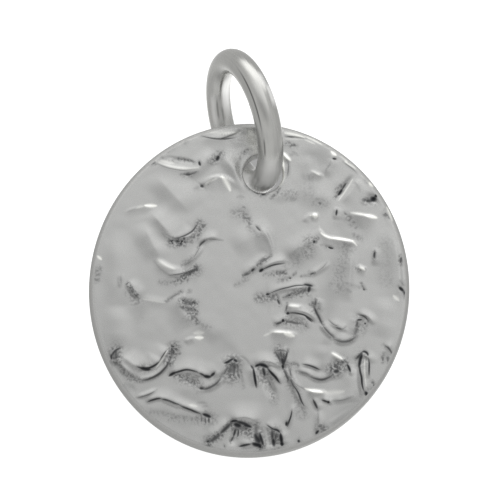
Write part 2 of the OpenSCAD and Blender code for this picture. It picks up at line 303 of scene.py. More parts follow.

# Dark creases and stains, each along an arc as a fold is: tarnish in the hollows with painted
# shade on top, and faint wide rows are painted soft shade alone. Columns: x, y, heading, length,
# bend, width, dark, mottle. Width is half its width, dark is how dark it is, and mottle is how much
# of it is hatching: 0 is a clean line. A row's number here also sets the streaks of its hatching.
CREASES = [
    # upper left and top
    (-628, 640, 3, 40, 0, 9, 80, 20),
    (-595, 644, -24, 240, 42, 4.5, 55, 0),
    (-575, 680, -15, 60, 0, 6, 35, 60),
    (-500, 662, 28, 50, -25, 7, 45, 50),
    (-465, 680, 3, 90, -25, 8, 65, 50),
    (-430, 670, 10, 50, -25, 7, 50, 60),
    (-353, 680, -80, 30, 12, 9, 95, 0),
    (-442, 592, 0, 90, 30, 6, 70, 10),
    (-425, 594, 3, 35, 0, 9, 90, 20),
    (-328, 536, 50, 18, 0, 15, 80, 0),
    (-360, 520, 25, 40, 0, 8, 35, 10),
    (-295, 555, 62, 50, -30, 5, 55, 20),
    (-262, 695, 62, 30, 30, 14, 98, 5),
    (-278, 695, 60, 50, -30, 20, 60, 70),
    (-700, 352, 38, 110, -30, 5, 35, 0),
    (-372, 827, -14, 210, 36, 6, 80, 0),
    (-455, 775, 30, 20, 0, 9, 40, 30),
    (-530, 715, 45, 70, 0, 8, 35, 50),
    (-125, 415, 8, 50, 0, 20, 38, 60),
    (-80, 445, -95, 45, 0, 14, 48, 60),
    (-92, 415, -38, 50, 0, 17, 62, 60),
    (-70, 396, -50, 45, 0, 9, 68, 40),
    (-8, 356, -38, 45, 0, 7, 72, 0),
    (-42, 342, -35, 70, 0, 11, 38, 40),
    (25, 305, -42, 90, -10, 24, 26, 30),
    (-120, 505, 5, 30, 0, 6, 30, 20),
    (-448, 233, 6, 185, 68, 6.5, 80, 0),
    (-442, 212, 4, 60, 15, 19, 95, 60),
    (-432, 222, 0, 30, 0, 13, 92, 20),
    (-380, 212, 28, 150, 48, 14, 60, 80),
    (-335, 275, 62, 70, 20, 14, 50, 80),
    # left middle
    (-375, 90, 28, 50, 15, 7, 55, 20),
    (-335, 120, 52, 110, 30, 5, 55, 0),
    (-370, 100, 42, 60, 0, 12, 40, 70),
    (-298, 200, 78, 60, -45, 9, 85, 10),
    (-275, 250, 12, 100, -20, 5, 50, 0),
    (-530, 95, -55, 120, 40, 6, 25, 0),
    (-450, 29, 5, 195, 38, 5.5, 75, 0),
    (-350, 48, 25, 80, 15, 9, 80, 10),
    (-360, 30, 34, 85, 15, 17, 92, 40),
    (-400, 2, 12, 60, 10, 13, 60, 70),
    (-480, -12, -5, 80, 10, 12, 35, 70),
    (-696, 5, -83, 60, 0, 7, 45, 0),
    (-652, -42, -50, 85, 10, 10, 80, 50),
    (-635, -45, -58, 50, 0, 6, 80, 10),
    (-628, -90, -48, 50, 0, 24, 42, 70),
    (-575, -150, -80, 60, 0, 24, 16, 70),
    (-432, -108, 40, 95, 0, 8.5, 65, 20),
    (-324, -46, 20, 12, 0, 8, 60, 30),
    (-350, -102, -4, 65, -10, 17, 95, 35),
    (-338, -130, -20, 65, 0, 16, 92, 35),
    (-312, -160, -40, 70, 0, 14, 65, 60),
    (-342, -108, -58, 75, 0, 27, 55, 20),
    (-350, 40, 35, 60, 0, 24, 60, 50),
    (-620, -80, -60, 50, 0, 25, 30, 50),
    (-275, -198, -25, 90, 10, 12, 35, 70),
    (-818, 20, -95, 60, 0, 13, 45, 70),
    (-270, -190, -32, 280, -5, 24, 4, 0),
    # lower left
    (-640, -392, 190, 75, 75, 9, 92, 10),
    (-692, -428, -88, 32, 30, 9, 92, 10),
    (-670, -400, -82, 60, 0, 9, 90, 20),
    (-652, -410, -100, 45, 0, 6, 75, 20),
    (-688, -418, -35, 40, 0, 5, 80, 10),
    (-682, -452, 20, 35, 0, 5, 85, 10),
    (-672, -410, -75, 45, 0, 24, 88, 35),
    (-655, -462, -52, 90, 8, 10, 50, 60),
    (-615, -510, -35, 90, 20, 13, 55, 60),
    (-580, -542, -12, 50, 0, 12, 62, 50),
    (-590, -585, -10, 40, 0, 12, 25, 60),
    (-550, -480, -20, 145, 85, 8, 92, 0),
    (-532, -486, -6, 60, 12, 12, 98, 0),
    (-436, -444, 60, 85, 5, 7, 92, 0),
    (-520, -550, 8, 250, 82, 9, 85, 10),
    (-362, -350, -98, 90, -10, 21, 90, 45),
    (-375, -355, -85, 50, 0, 9, 90, 20),
    (-355, -362, -40, 30, 0, 8, 65, 40),
    (-510, -485, 10, 40, 0, 22, 50, 40),
    (-300, -510, -12, 80, 0, 24, 66, 40),
    (-160, -705, -5, 40, 0, 25, 45, 50),
    (-372, -512, 46, 175, -66, 7, 90, 0),
    (-372, -510, 42, 45, -10, 10, 95, 0),
    (-215, -474, -20, 60, 0, 7, 85, 0),
    (-190, -486, -10, 45, 25, 11, 97, 0),
    (-335, -498, -14, 120, -8, 14, 72, 50),
    (-305, -505, -10, 50, 0, 12, 55, 40),
    (-260, -528, -20, 45, 0, 12, 62, 40),
    (-208, -556, 5, 30, 0, 10, 95, 10),
    (-210, -578, 30, 40, 10, 8, 35, 50),
    (-468, -660, 40, 82, -44, 7, 88, 0),
    (-398, -636, -4, 110, -14, 6.5, 88, 0),
    (-295, -658, -18, 125, 8, 6.5, 90, 0),
    (-530, -645, 14, 120, 28, 5, 60, 0),
    (-440, -708, -3, 120, 0, 13, 32, 50),
    (-340, -725, -4, 160, 8, 15, 40, 60),
    (-195, -712, 40, 50, 0, 10, 50, 60),
    # bottom
    (-172, -688, -10, 50, -12, 12, 98, 0),
    (-175, -700, -84, 35, 0, 5, 80, 10),
    (-155, -702, -80, 38, 0, 5.5, 85, 10),
    (-136, -700, -80, 35, 0, 6, 90, 10),
    (-185, -715, 0, 60, 0, 14, 50, 60),
    (-152, -486, 50, 32, 10, 9, 95, 0),
    (-195, -560, 8, 130, 60, 10, 82, 10),
    (-115, -520, 58, 80, 8, 10, 65, 40),
    (-92, -408, 25, 65, 14, 9, 98, 0),
    (-42, -380, -30, 28, 0, 9, 95, 0),
    (-66, -415, -108, 65, 0, 9, 82, 30),
    (-50, -400, -99, 80, 0, 10, 92, 30),
    (-32, -390, -90, 90, 0, 11, 96, 30),
    (-15, -400, -84, 75, 0, 8, 85, 30),
    (0, -420, -76, 50, 0, 7, 60, 30),
    (-42, -402, -95, 62, 0, 33, 88, 35),
    (-75, -480, -10, 60, 0, 16, 40, 60),
    (-15, -362, -5, 70, -45, 5, 45, 10),
    (52, -400, -45, 30, -20, 7, 85, 0),
    (66, -408, -72, 115, -6, 9, 100, 0),
    (78, -410, 50, 35, -40, 9, 97, 0),
    (90, -395, 14, 62, -50, 13, 100, 0),
    (136, -400, -42, 115, -3, 8, 100, 0),
    (118, -404, -70, 50, 0, 12, 97, 10),
    (132, -435, -62, 135, -6, 11, 60, 40),
    (10, -470, -75, 50, 0, 10, 30, 60),
    (-12, -715, -128, 88, -2, 14, 97, 20),
    (-62, -782, -140, 80, 8, 17, 97, 30),
    (-114, -826, -160, 22, 0, 10, 92, 10),
    (-20, -715, 35, 45, -40, 10, 97, 0),
    (5, -708, 6, 95, -45, 12, 100, 10),
    (-2, -724, -4, 45, 0, 18, 100, 5),
    (52, -720, -12, 46, 0, 12, 100, 5),
    (10, -740, -95, 50, -5, 9, 95, 10),
    (5, -785, -110, 35, 0, 8, 85, 10),
    (28, -740, -90, 50, 0, 7, 90, 10),
    (44, -740, -85, 35, 0, 5, 75, 10),
    (-42, -832, -60, 20, 0, 5, 60, 0),
    (112, -712, -76, 80, 0, 18, 72, 20),
    (116, -758, -66, 55, 0, 18, 86, 0),
    (120, -778, -40, 42, 0, 26, 100, 10),
    (104, -810, -8, 58, 0, 16, 100, 0),
    (142, -822, -10, 20, 0, 10, 98, 0),
    (105, -812, -157, 70, -6, 8, 95, 0),
    (140, -750, -66, 75, 0, 11, 97, 0),
    (170, -705, -30, 75, 10, 6.5, 90, 0),
    (210, -725, -3, 42, -40, 8, 97, 0),
    (246, -738, -74, 60, 0, 12, 100, 0),
    (260, -785, -80, 22, 0, 13, 100, 0),
    (204, -732, -76, 50, -8, 11, 95, 20),
    (215, -772, -80, 45, 0, 14, 100, 10),
    (228, -738, -95, 45, 0, 9, 88, 20),
    (-2, -728, -8, 85, -14, 24, 88, 35),
    (128, -750, -68, 75, 0, 23, 88, 30),
    (220, -745, -80, 50, 0, 26, 75, 50),
    (-95, -795, -145, 40, 0, 20, 50, 50),
    (115, -415, -60, 50, 0, 32, 65, 50),
    (297, -610, -92, 95, -16, 6.5, 90, 0),
    (278, -675, -98, 25, 0, 9, 95, 0),
    (-205, -632, 5, 50, -10, 4.5, 40, 0),
    (-175, -650, 8, 30, 0, 4.5, 35, 0),
    # lower right
    (172, -310, 14, 66, -20, 8, 78, 20),
    (170, -312, -48, 82, -12, 9, 92, 20),
    (238, -298, -97, 85, -5, 8.5, 98, 10),
    (202, -302, -75, 70, 0, 11, 95, 30),
    (220, -308, -85, 60, 0, 6.5, 88, 10),
    (188, -312, -65, 50, 0, 6, 80, 10),
    (212, -342, -70, 48, 0, 12, 98, 10),
    (200, -305, -72, 70, 0, 26, 60, 50),
    (222, -375, -80, 30, 0, 9, 100, 0),
    (228, -400, -60, 75, 0, 8.5, 90, 20),
    (262, -393, -80, 50, 10, 7, 88, 20),
    (268, -448, -58, 60, 0, 7.5, 82, 20),
    (293, -482, -55, 130, -5, 6.5, 90, 0),
    (285, -460, -38, 75, 18, 5, 55, 10),
    (275, -470, -60, 170, -6, 24, 38, 50),
    (155, -490, -62, 90, 0, 20, 35, 50),
    (270, -368, -10, 30, 0, 9, 60, 30),
    (324, -366, 2, 105, -26, 6, 85, 0),
    (302, -405, 0, 80, -28, 7.5, 55, 20),
    (370, -422, -30, 145, 88, 9, 75, 10),
    (472, -402, 45, 35, 0, 9, 70, 30),
    (492, -384, 12, 35, 0, 15, 97, 15),
    (508, -362, 10, 28, 0, 11, 82, 30),
    (490, -370, 0, 45, 0, 20, 55, 60),
    (500, -322, -18, 60, 20, 6, 65, 10),
    (560, -333, -56, 52, -10, 8.5, 100, 0),
    (400, -540, -54, 62, -10, 8, 85, 0),
    (428, -588, -68, 130, -40, 5, 50, 0),
    (450, -702, -125, 28, 0, 9, 97, 0),
    (452, -688, -15, 32, 0, 18, 80, 30),
    (446, -541, -6, 45, -20, 6.5, 88, 0),
    (474, -547, -10, 16, 0, 9, 100, 0),
    (500, -542, 8, 120, 22, 5.5, 50, 0),
    (342, -770, 0, 15, 0, 10, 92, 0),
    (655, -530, -130, 180, 0, 26, 30, 20),
    (352, -42, -64, 120, 10, 9, 88, 10),
    (410, -140, -52, 100, 25, 8, 78, 10),
    (470, -202, -35, 155, 100, 10, 78, 15),
    (606, -305, 62, 62, -15, 8, 88, 10),
    (635, -260, -97, 90, 5, 11.5, 97, 0),
    (631, -325, -84, 150, 16, 8, 95, 0),
    (674, -468, -68, 26, 0, 12, 100, 0),
    (633, -260, 28, 52, -112, 8.5, 95, 0),
    (625, -275, -60, 30, 0, 14, 60, 40),
    (640, -280, -90, 40, 0, 28, 45, 50),
    (495, -372, 35, 50, 0, 30, 80, 60),
    (674, -288, -82, 100, -4, 6.5, 88, 0),
    (746, -210, -14, 95, -66, 7.5, 75, 10),
    (750, -272, -85, 30, 0, 8, 75, 20),
    (774, -268, -80, 35, 0, 8, 75, 20),
    (750, -262, 10, 30, 0, 10, 45, 50),
    (705, -410, -55, 45, 0, 8, 75, 30),
    (714, -430, -50, 20, 0, 9, 95, 0),
    (685, -455, 20, 30, 0, 9, 35, 70),
    (440, -235, -88, 100, 0, 22, 16, 50),
    # middle and right
    (92, 204, -130, 42, 0, 9, 85, 30),
    (70, 184, -135, 40, 0, 11, 88, 30),
    (42, 160, -130, 35, 0, 8, 75, 30),
    (12, 122, -125, 25, 0, 10, 95, 10),
    (5, 110, -130, 50, 0, 7, 70, 30),
    (-15, 90, -150, 30, 0, 8, 82, 20),
    (-20, 62, -140, 70, 0, 10, 30, 80),
    (42, 105, 45, 30, -5, 9.5, 100, 0),
    (50, 113, 42, 140, -36, 6, 80, 0),
    (75, 95, 14, 80, 0, 11, 40, 60),
    (120, 108, 10, 60, -10, 12, 72, 40),
    (155, 110, 32, 30, 0, 9, 80, 20),
    (152, 70, 22, 60, 0, 10, 52, 40),
    (202, 93, 0, 15, 0, 6, 90, 0),
    (222, 100, 62, 30, 0, 6, 65, 30),
    (270, 110, 10, 50, 10, 6, 60, 40),
    (92, -14, 25, 20, 0, 8, 97, 0),
    (95, -12, 32, 255, -28, 6, 82, 0),
    (285, 65, 4, 55, -12, 9, 95, 0),
    (322, 62, -97, 38, 0, 12, 97, 10),
    (302, 52, -115, 50, 0, 10, 80, 30),
    (282, 42, -125, 50, 0, 10, 70, 40),
    (295, 45, -150, 90, 5, 15, 60, 60),
    (188, -22, 48, 60, -20, 7, 75, 20),
    (210, -1, 0, 12, 0, 6, 90, 0),
    (55, -36, 10, 90, 0, 19, 62, 60),
    (60, -50, 0, 50, 0, 10, 50, 50),
    (152, -30, -58, 35, 0, 8, 88, 10),
    (212, -48, -96, 48, 0, 6, 75, 10),
    (210, -106, 30, 20, 0, 9, 97, 0),
    (216, -103, 24, 160, -72, 5.5, 90, 0),
    (312, -102, -32, 52, -14, 6, 90, 0),
    (158, -168, 28, 40, 0, 8, 82, 10),
    (195, -135, -85, 16, 0, 10, 100, 0),
    (212, -150, 12, 75, -25, 12, 88, 25),
    (280, -145, -14, 35, 0, 9, 70, 40),
    (312, -156, -20, 20, 0, 7, 75, 20),
    (235, -172, 5, 80, -10, 10, 28, 60),
    (310, 302, 20, 16, 0, 11, 100, 10),
    (270, 295, 38, 70, -20, 12, 60, 60),
    (262, 300, 60, 40, -40, 6, 55, 10),
    (295, 295, -120, 130, 0, 24, 32, 60),
    (255, 265, -125, 120, 0, 24, 26, 60),
    (314, 125, 28, 30, 0, 7, 80, 10),
    (340, 138, 38, 90, 12, 5, 50, 0),
    (310, 140, -20, 20, 0, 6, 40, 50),
    (393, 290, -16, 35, 0, 6.5, 97, 0),
    (365, 295, -10, 40, 0, 10, 40, 60),
    (362, -5, -98, 40, 10, 10, 85, 20),
    (324, -38, -14, 35, 0, 6, 65, 20),
    (438, -110, -42, 78, 40, 5, 62, 0),
    (480, -144, -20, 38, 22, 6.5, 65, 0),
    (512, -150, 20, 35, 25, 4.5, 55, 0),
    (586, -185, 75, 60, 8, 12, 78, 30),
    (594, -130, 88, 35, -5, 10, 80, 20),
    (592, -93, 8, 30, 0, 6, 95, 0),
    (595, -66, 14, 65, -80, 7.5, 78, 10),
    (630, -108, 0, 12, 0, 7, 90, 0),
    (650, -85, -90, 40, -20, 6, 50, 30),
    (612, -115, -50, 30, 0, 10, 45, 60),
    (605, -90, -80, 50, 0, 26, 42, 50),
    (230, -142, -4, 70, 0, 28, 50, 50),
    (355, -30, -70, 30, 0, 22, 65, 40),
    (300, 305, -105, 60, 0, 30, 52, 40),
    (495, 290, -99, 210, 0, 34, 42, 30),
    (710, 330, -85, 180, 0, 36, 24, 50),
    (90, -35, 10, 30, 0, 28, 32, 50),
    (560, 186, -15, 20, 0, 9, 60, 40),
    (595, 108, -52, 40, 0, 6, 70, 20),
    (608, 82, -30, 14, 0, 6, 85, 0),
    (510, 100, -20, 80, 20, 7, 30, 50),
    (440, 130, -92, 210, 0, 24, 3, 0),
    (520, 62, -20, 25, 0, 6, 30, 30),
    (654, 295, -96, 45, 5, 8, 92, 10),
    (796, 280, -88, 36, 0, 11, 92, 20),
    (800, 114, -34, 36, -10, 12, 100, 0),
    (824, 95, -46, 40, -20, 11, 98, 10),
    (808, 145, -45, 35, 0, 8, 50, 10),
    # upper right
    (405, 566, 50, 25, 0, 7, 75, 20),
    (420, 580, 56, 48, 8, 9.5, 100, 0),
    (440, 612, 66, 52, 0, 7, 88, 10),
    (412, 605, 48, 50, 0, 12, 60, 60),
    (452, 650, 60, 40, 0, 7, 40, 40),
    (326, 528, -70, 16, 0, 10, 75, 20),
    (305, 535, -10, 50, 0, 24, 25, 80),
    (423, 502, -88, 38, -8, 6.5, 95, 0),
    (336, 700, 66, 70, 0, 6, 52, 20),
    (368, 786, -5, 26, 0, 7.5, 95, 0),
    (362, 766, -112, 50, 0, 5, 52, 20),
    (574, 568, 8, 42, 0, 17, 95, 20),
    (608, 570, 62, 32, 0, 21, 100, 0),
    (620, 600, 30, 16, 0, 11, 95, 0),
    (686, 508, -20, 25, 0, 9, 80, 30),
    (713, 492, 10, 18, 0, 7, 80, 20),
    (690, 532, 10, 25, 0, 9, 45, 60),
    (692, 548, -62, 80, 0, 5, 55, 0),
    (472, 478, -30, 30, 0, 13, 52, 60),
    (488, 455, -10, 30, 0, 12, 50, 70),
    (502, 422, -15, 40, 0, 12, 38, 70),
    (460, 440, -18, 110, 0, 36, 24, 20),
    (530, 372, -25, 40, 0, 12, 38, 70),
    (505, 662, -50, 50, 0, 6, 40, 20),
    (560, 685, -40, 30, 0, 6, 80, 10),
    (430, 775, -32, 100, -4, 5, 60, 0),
    (250, 660, -80, 90, 0, 26, 24, 60),
    (245, 790, -28, 110, 0, 42, 20, 20),
    # round the hole
    (-260, 824, 14, 130, 26, 5.5, 65, 0),
    (-245, 845, 15, 90, 10, 10, 30, 80),
    (-190, 862, 8, 130, 0, 9, 35, 80),
    (-105, 892, 0, 40, 0, 8, 60, 50),
    (-190, 820, 8, 130, 4, 10, 25, 50),
    (-115, 755, 60, 60, -60, 8, 65, 60),
    (-95, 782, 15, 50, -10, 6, 60, 40),
    (-132, 720, 80, 40, 0, 6, 40, 60),
    (98, 879, 2, 115, -2, 6, 88, 0),
    (110, 846, -10, 20, 0, 8, 60, 50),
    (142, 830, 10, 12, 0, 10, 85, 30),
    (105, 825, 5, 60, 0, 10, 35, 80),
    (125, 765, 28, 50, 0, 4.5, 35, 0),
    (145, 795, -20, 40, -20, 4.5, 30, 30),
    (126, 742, -72, 95, -26, 5, 60, 0),
    (60, 522, 40, 50, 20, 7, 65, 50),
    (85, 555, 60, 30, 0, 7, 60, 50),
    (2, 533, 8, 34, 30, 10, 95, 10),
    (-50, 548, -26, 55, 20, 6, 80, 10),
    (-95, 580, -42, 60, 8, 5, 55, 10),
    (110, 548, 20, 50, 0, 14, 35, 80),
    (150, 570, -10, 40, 0, 14, 35, 80),
    (155, 532, 5, 40, 0, 12, 30, 80),
]

# Painted highlights and glints, each along an arc. Columns: x, y, heading, length, bend, width,
# light.
# Light is how bright the painted highlight is.
PAINTED_GLINTS = [
    # upper left and top
    (-590, 654, -22, 240, 38, 10, 25),
    (-560, 658, -8, 70, 5, 10, 35),
    (-615, 398, 3, 60, 5, 10, 92),
    (-660, 375, 35, 40, -20, 7, 25),
    (-230, 605, 5, 25, -30, 8, 60),
    (-218, 605, -42, 85, -22, 12, 90),
    (-305, 555, 45, 70, -25, 7, 40),
    (-310, 850, 3, 160, 8, 12, 28),
    # left
    (-835, 90, -35, 30, 0, 8, 90),
    (-505, 106, -38, 95, 30, 16, 30),
    (-560, -115, -5, 120, 5, 6, 25),
    # lower left
    (-256, -288, 5, 38, 0, 11, 97),
    (-265, -266, 10, 45, 0, 14, 35),
    (-450, -482, 55, 120, 18, 5, 50),
    (-245, -648, -5, 40, 0, 9, 35),
    # right and lower right
    (105, -236, 30, 50, 0, 7, 35),
    (155, -210, 5, 60, 0, 7, 55),
    (214, -213, -6, 50, 0, 12, 97),
    (220, -58, 0, 50, 0, 9, 30),
    (352, -490, -18, 40, 18, 6, 75),
    (385, -499, -2, 62, 0, 9, 92),
    (450, -500, 2, 110, 14, 14, 32),
    (478, -286, -28, 60, 8, 10, 55),
    (654, -300, -88, 145, 14, 4.5, 45),
    (775, 62, -35, 36, 0, 10, 60),
    # upper right
    (280, 450, 5, 40, 0, 6, 60),
    (298, 448, 12, 22, 0, 15, 98),
    (335, 400, -72, 55, 50, 5, 25),
    (350, 360, -36, 70, 36, 7, 90),
    (400, 335, 8, 130, -15, 7, 92),
    (520, 336, -25, 40, -20, 5, 70),
    (500, 493, -3, 140, 0, 8, 35),
    (582, 487, -6, 60, 0, 11, 92),
    (576, 196, -20, 34, 0, 7, 92),
    (428, 552, 62, 145, 3, 5.5, 50),
    (260, 702, -30, 50, 20, 5, 35),
    (282, 692, -22, 30, 0, 6, 55),
    (360, 822, -32, 32, 0, 9, 97),
    # along the rim
    (95, 897, -2, 110, -8, 9, 75),
    (205, 893, -14, 110, -14, 5, 80),
    (205, 874, -18, 65, 0, 4.5, 55),
    (100, 864, 4, 100, 0, 5, 30),
    (412, 802, -28, 50, -6, 5, 45),
    (438, 776, -25, 75, -4, 5.5, 75),
    (582, 676, -45, 32, 0, 8, 92),
    (692, 550, -60, 85, -5, 6, 85),
    # round the hole
    (-95, 885, -70, 120, 0, 34, 50),
    (90, 788, -40, 66, 0, 9, 100),
    (90, 592, 55, 88, 43, 9, 100),
    (112, 670, 97, 80, 6, 7, 100),
]


def smooth(t):
    """Smooth step from 0 to 1."""
    u = np.clip(t, 0, 1)
    return u * u * (3 - 2 * u)


def hashed(i, j, seed):
    """A scattered value from 0 to 1 for each i and j."""
    v = np.sin(i * 127.1 + j * 311.7 + seed * 74.7) * 43758.5453
    return v - np.floor(v)


def noise(x, y, size, seed):
    """Smooth noise from 0 to 1, in cells of this size."""
    u, v = x / size, y / size
    i, j = np.floor(u), np.floor(v)
    f, g = smooth(u - i), smooth(v - j)
    low = hashed(i, j, seed) * (1 - f) + hashed(i + 1, j, seed) * f
    high = hashed(i, j + 1, seed) * (1 - f) + hashed(i + 1, j + 1, seed) * f
    return low * (1 - g) + high * g


def rows_of(table):
    """Rows of a table of the face, with hundredths turned into millimetres or shares."""
    for row in table:
        yield [value if column in ANGLE_COLUMNS else value / 100 for column, value in enumerate(row)]


def along(row, x, y):
    """Offset to the left of a row's arc, and the distance along it."""
    x0, y0, heading, length, bend = row[:5]
    # A straight row is an arc that bends by this little
    least_bend = 0.5
    h = math.radians(heading)
    b = math.radians(bend if abs(bend) > least_bend else least_bend)
    turn = math.copysign(1, b)
    radius = length / abs(b)
    cx = x0 - turn * radius * math.sin(h)
    cy = y0 + turn * radius * math.cos(h)
    middle = h - turn * math.pi / 2 + b / 2
    swept = turn * ((np.arctan2(y - cy, x - cx) - middle + math.pi) % (2 * math.pi) - math.pi)
    return turn * (radius - np.hypot(x - cx, y - cy)), length / 2 + swept * radius


def near(row, x, y, reach):
    """Indices of the points in a box around what a row's arc reaches."""
    x0, y0, heading, length, bend = row[:5]
    reach += BOX_MARGIN
    parts = 8
    headings = np.radians(heading + bend * (np.arange(parts) + 0.5) / parts)
    px = np.append(x0, x0 + np.cumsum(np.cos(headings)) * length / parts)
    py = np.append(y0, y0 + np.cumsum(np.sin(headings)) * length / parts)
    inside = (x > px.min() - reach) & (x < px.max() + reach)
    inside &= (y > py.min() - reach) & (y < py.max() + reach)
    return np.nonzero(inside)[0]


def folds(x, y):
    """Height of the folds above the plain sheet."""
    z = np.zeros_like(x)
    for row in rows_of(FOLDS):
        length, bend, height, left, right, crest = row[3:]
        inner = INNER_REACH * length / abs(math.radians(bend)) if bend else math.inf
        reach_left = min(FOLD_REACH * left, inner if bend > 0 else math.inf)
        reach_right = min(FOLD_REACH * right, inner if bend < 0 else math.inf)
        at = near(row, x, y, max(reach_left, reach_right))
        off, place = along(row, x[at], y[at])
        reach = np.where(off > 0, reach_left, reach_right)
        across = np.clip(np.abs(off) / reach, 0, 1)
        blunt = CREST_ROUNDING / reach
        pointed = (np.hypot(across, blunt) - blunt) / (np.hypot(1, blunt) - blunt)
        profile = crest * (1 - pointed) ** 2 + (1 - crest) * (1 - across**2) ** 3
        end = np.clip((np.abs(2 * place / length - 1) - (1 - END_FADE)) / END_FADE, 0, 1)
        z[at] += height * (1 - end**2) ** 2 * profile
    return z


def stroke(row, x, y, taper):
    """A row's stroke at some points, on either side of it and past its ends.

    Gives the place along it, the offset from it, 0 to 1 from its middle to its ends, and the
    squared distance from it, in millimetres and in half widths.
    """
    length, width = row[3], row[5]
    off, place = along(row, x, y)
    past = np.maximum(np.maximum(-place, place - length), 0)
    end = np.clip(np.abs(2 * place / length - 1), 0, 1)
    squared = off**2 + past**2
    return place, off, end, squared, squared / (width * (1 - taper * end**2)) ** 2


def creases(x, y):
    """Creases' tarnish and painted shade: distance to a clean line, hatching, its streaks, depth."""
    to_dark = np.full_like(x, FAR)
    hatch = np.zeros_like(x)
    streak = np.zeros((len(x), 3))
    depth = np.zeros_like(x)
    wx = x + WAVER * (noise(x, y, WAVER_SIZE, 21) - 0.5)
    wy = y + WAVER * (noise(x, y, WAVER_SIZE, 22) - 0.5)
    for number, row in enumerate(rows_of(CREASES)):
        width, dark, mottle = row[5:]
        at = near(row, x, y, STROKE_REACH * width)
        place, off, end, squared, widths = stroke(row, wx[at], wy[at], DARK_TAPER)
        clean = dark * (1 - mottle) * (1 - END_PALENESS * end**4)
        to_dark[at] = np.minimum(to_dark[at], np.sqrt(widths - np.log(clean)))
        depth[at] = np.maximum(depth[at], np.exp(-widths) * width * clean)
        soft = dark * mottle**0.25 * np.exp(-((squared / (HATCH_SPREAD * width) ** 2) ** 1.3))
        stronger = soft > hatch[at]
        at, place, off = at[stronger], place[stronger], off[stronger]
        hatch[at] = soft[stronger]
        streak[at] = np.stack([place, off, np.full(len(at), number)], 1)
    return to_dark, hatch, streak, depth


def painted_glint_distance(x, y):
    """Distance to the painted highlights, as for the clean dark lines."""
    to_bright = np.full_like(x, FAR)
    for row in rows_of(PAINTED_GLINTS):
        width, light = row[5:]
        at = near(row, x, y, STROKE_REACH * width)
        widths = stroke(row, x[at], y[at], BRIGHT_TAPER)[-1]
        to_bright[at] = np.minimum(to_bright[at], np.sqrt(widths - math.log(light)))
    return to_bright


def face_surface(x, y):
    """Height of the hammered face at points of the disc, and the tarnish and painted shade of its
    creases.
    """
    from_rim = 1 - np.hypot(x / FLAT_X, y / FLAT_Y)
    from_hole = np.hypot(x, y - HOLE_DISTANCE) - HOLE_RADIUS
    fade = smooth(from_rim / RIM_FADE) * smooth(from_hole / HOLE_FADE)
    to_dark, hatch, streak, depth = creases(x, y + TABLE_SHIFT)
    uneven = noise(x, y, UNEVEN_SIZE, 31) + 0.5 * noise(x, y, UNEVEN_SIZE / 2, 32) - 0.75
    height = folds(x, y + TABLE_SHIFT) - CREASE_DEPTH * depth + UNEVENNESS * uneven
    return height * fade, to_dark, hatch, streak


def face_grid():
    """Points and triangles of the face, from the middle out."""
    xs, ys, triangles = [np.zeros(1)], [np.zeros(1)], []
    start, previous = 1, 0
    for ring in range(1, FACE_RINGS + 1):
        count = SECTORS * ring
        i = np.arange(count)
        angle = 2 * np.pi * i / count
        xs.append(FLAT_X * ring / FACE_RINGS * np.cos(angle))
        ys.append(FLAT_Y * ring / FACE_RINGS * np.sin(angle))
        sector, place = i // ring, i % ring
        inner_count = max(SECTORS * (ring - 1), 1)
        behind = sector * (ring - 1) + place
        inner, inner_next = (previous + (behind + step) % inner_count for step in (0, 1))
        here, ahead = start + i, start + (i + 1) % count
        triangles.append(np.stack([here, ahead, inner], 1))
        rest = place != ring - 1
        triangles.append(np.stack([inner, ahead, inner_next], 1)[rest])
        previous, start = start, start + count
    return np.concatenate(xs), np.concatenate(ys), np.concatenate(triangles)


def open_hole(x, y, triangles):
    """Takes the hole out of the face, and moves the points at its lip onto a true circle."""
    radius = HOLE_RADIUS + LIP_RADIUS
    distance = np.hypot(x, y - HOLE_DISTANCE)
    inside = distance < radius
    triangles = triangles[~inside[triangles].all(1)]
    lip = np.unique(triangles[inside[triangles]])
    x[lip] *= radius / distance[lip]
    y[lip] = HOLE_DISTANCE + (y[lip] - HOLE_DISTANCE) * radius / distance[lip]
    used = np.unique(triangles)
    renumber = np.full(len(x), -1)
    renumber[used] = np.arange(len(used))
    lip = renumber[lip]
    x, y = x[used], y[used]
    order = np.argsort(np.arctan2(y[lip] - HOLE_DISTANCE, x[lip]))
    return x, y, renumber[triangles], lip[order]


def strip(upper, lower):
    """Two triangles to each step of a closed band between two loops of equal length."""
    upper_next, lower_next = np.roll(upper, -1), np.roll(lower, -1)
    first = np.stack([upper, lower, lower_next], 1)
    second = np.stack([upper, lower_next, upper_next], 1)
    return np.concatenate([first, second])


def edge_steps(radius, face_steps, back_steps):
    """Steps over the rounded edge of the face, and then over that of the back.

    Each gives its share of the rounding, its side, 1 or -1 for face or back, and how far it lies
    from where the flat ends, sideways and into the sheet.
    """
    shares = [(step / face_steps, 1) for step in range(1, face_steps + 1)]
    shares += [(step / back_steps, -1) for step in range(back_steps, -1, -1)]
    for share, side in shares:
        bow = share * math.pi / 2
        yield share, side, radius * math.sin(bow), radius * (1 - math.cos(bow))


def disc_place(points):
    """Turns points of the disc, in millimetres, into the charm's frame as it lies."""
    pitch, roll = math.radians(DISC_PITCH), math.radians(DISC_ROLL)
    right = [math.cos(roll), math.sin(pitch) * math.sin(roll), -math.cos(pitch) * math.sin(roll)]
    up = [0, math.cos(pitch), math.sin(pitch)]
    return np.array(DISC_CENTRE) + points @ np.stack([right, up, np.cross(right, up)])


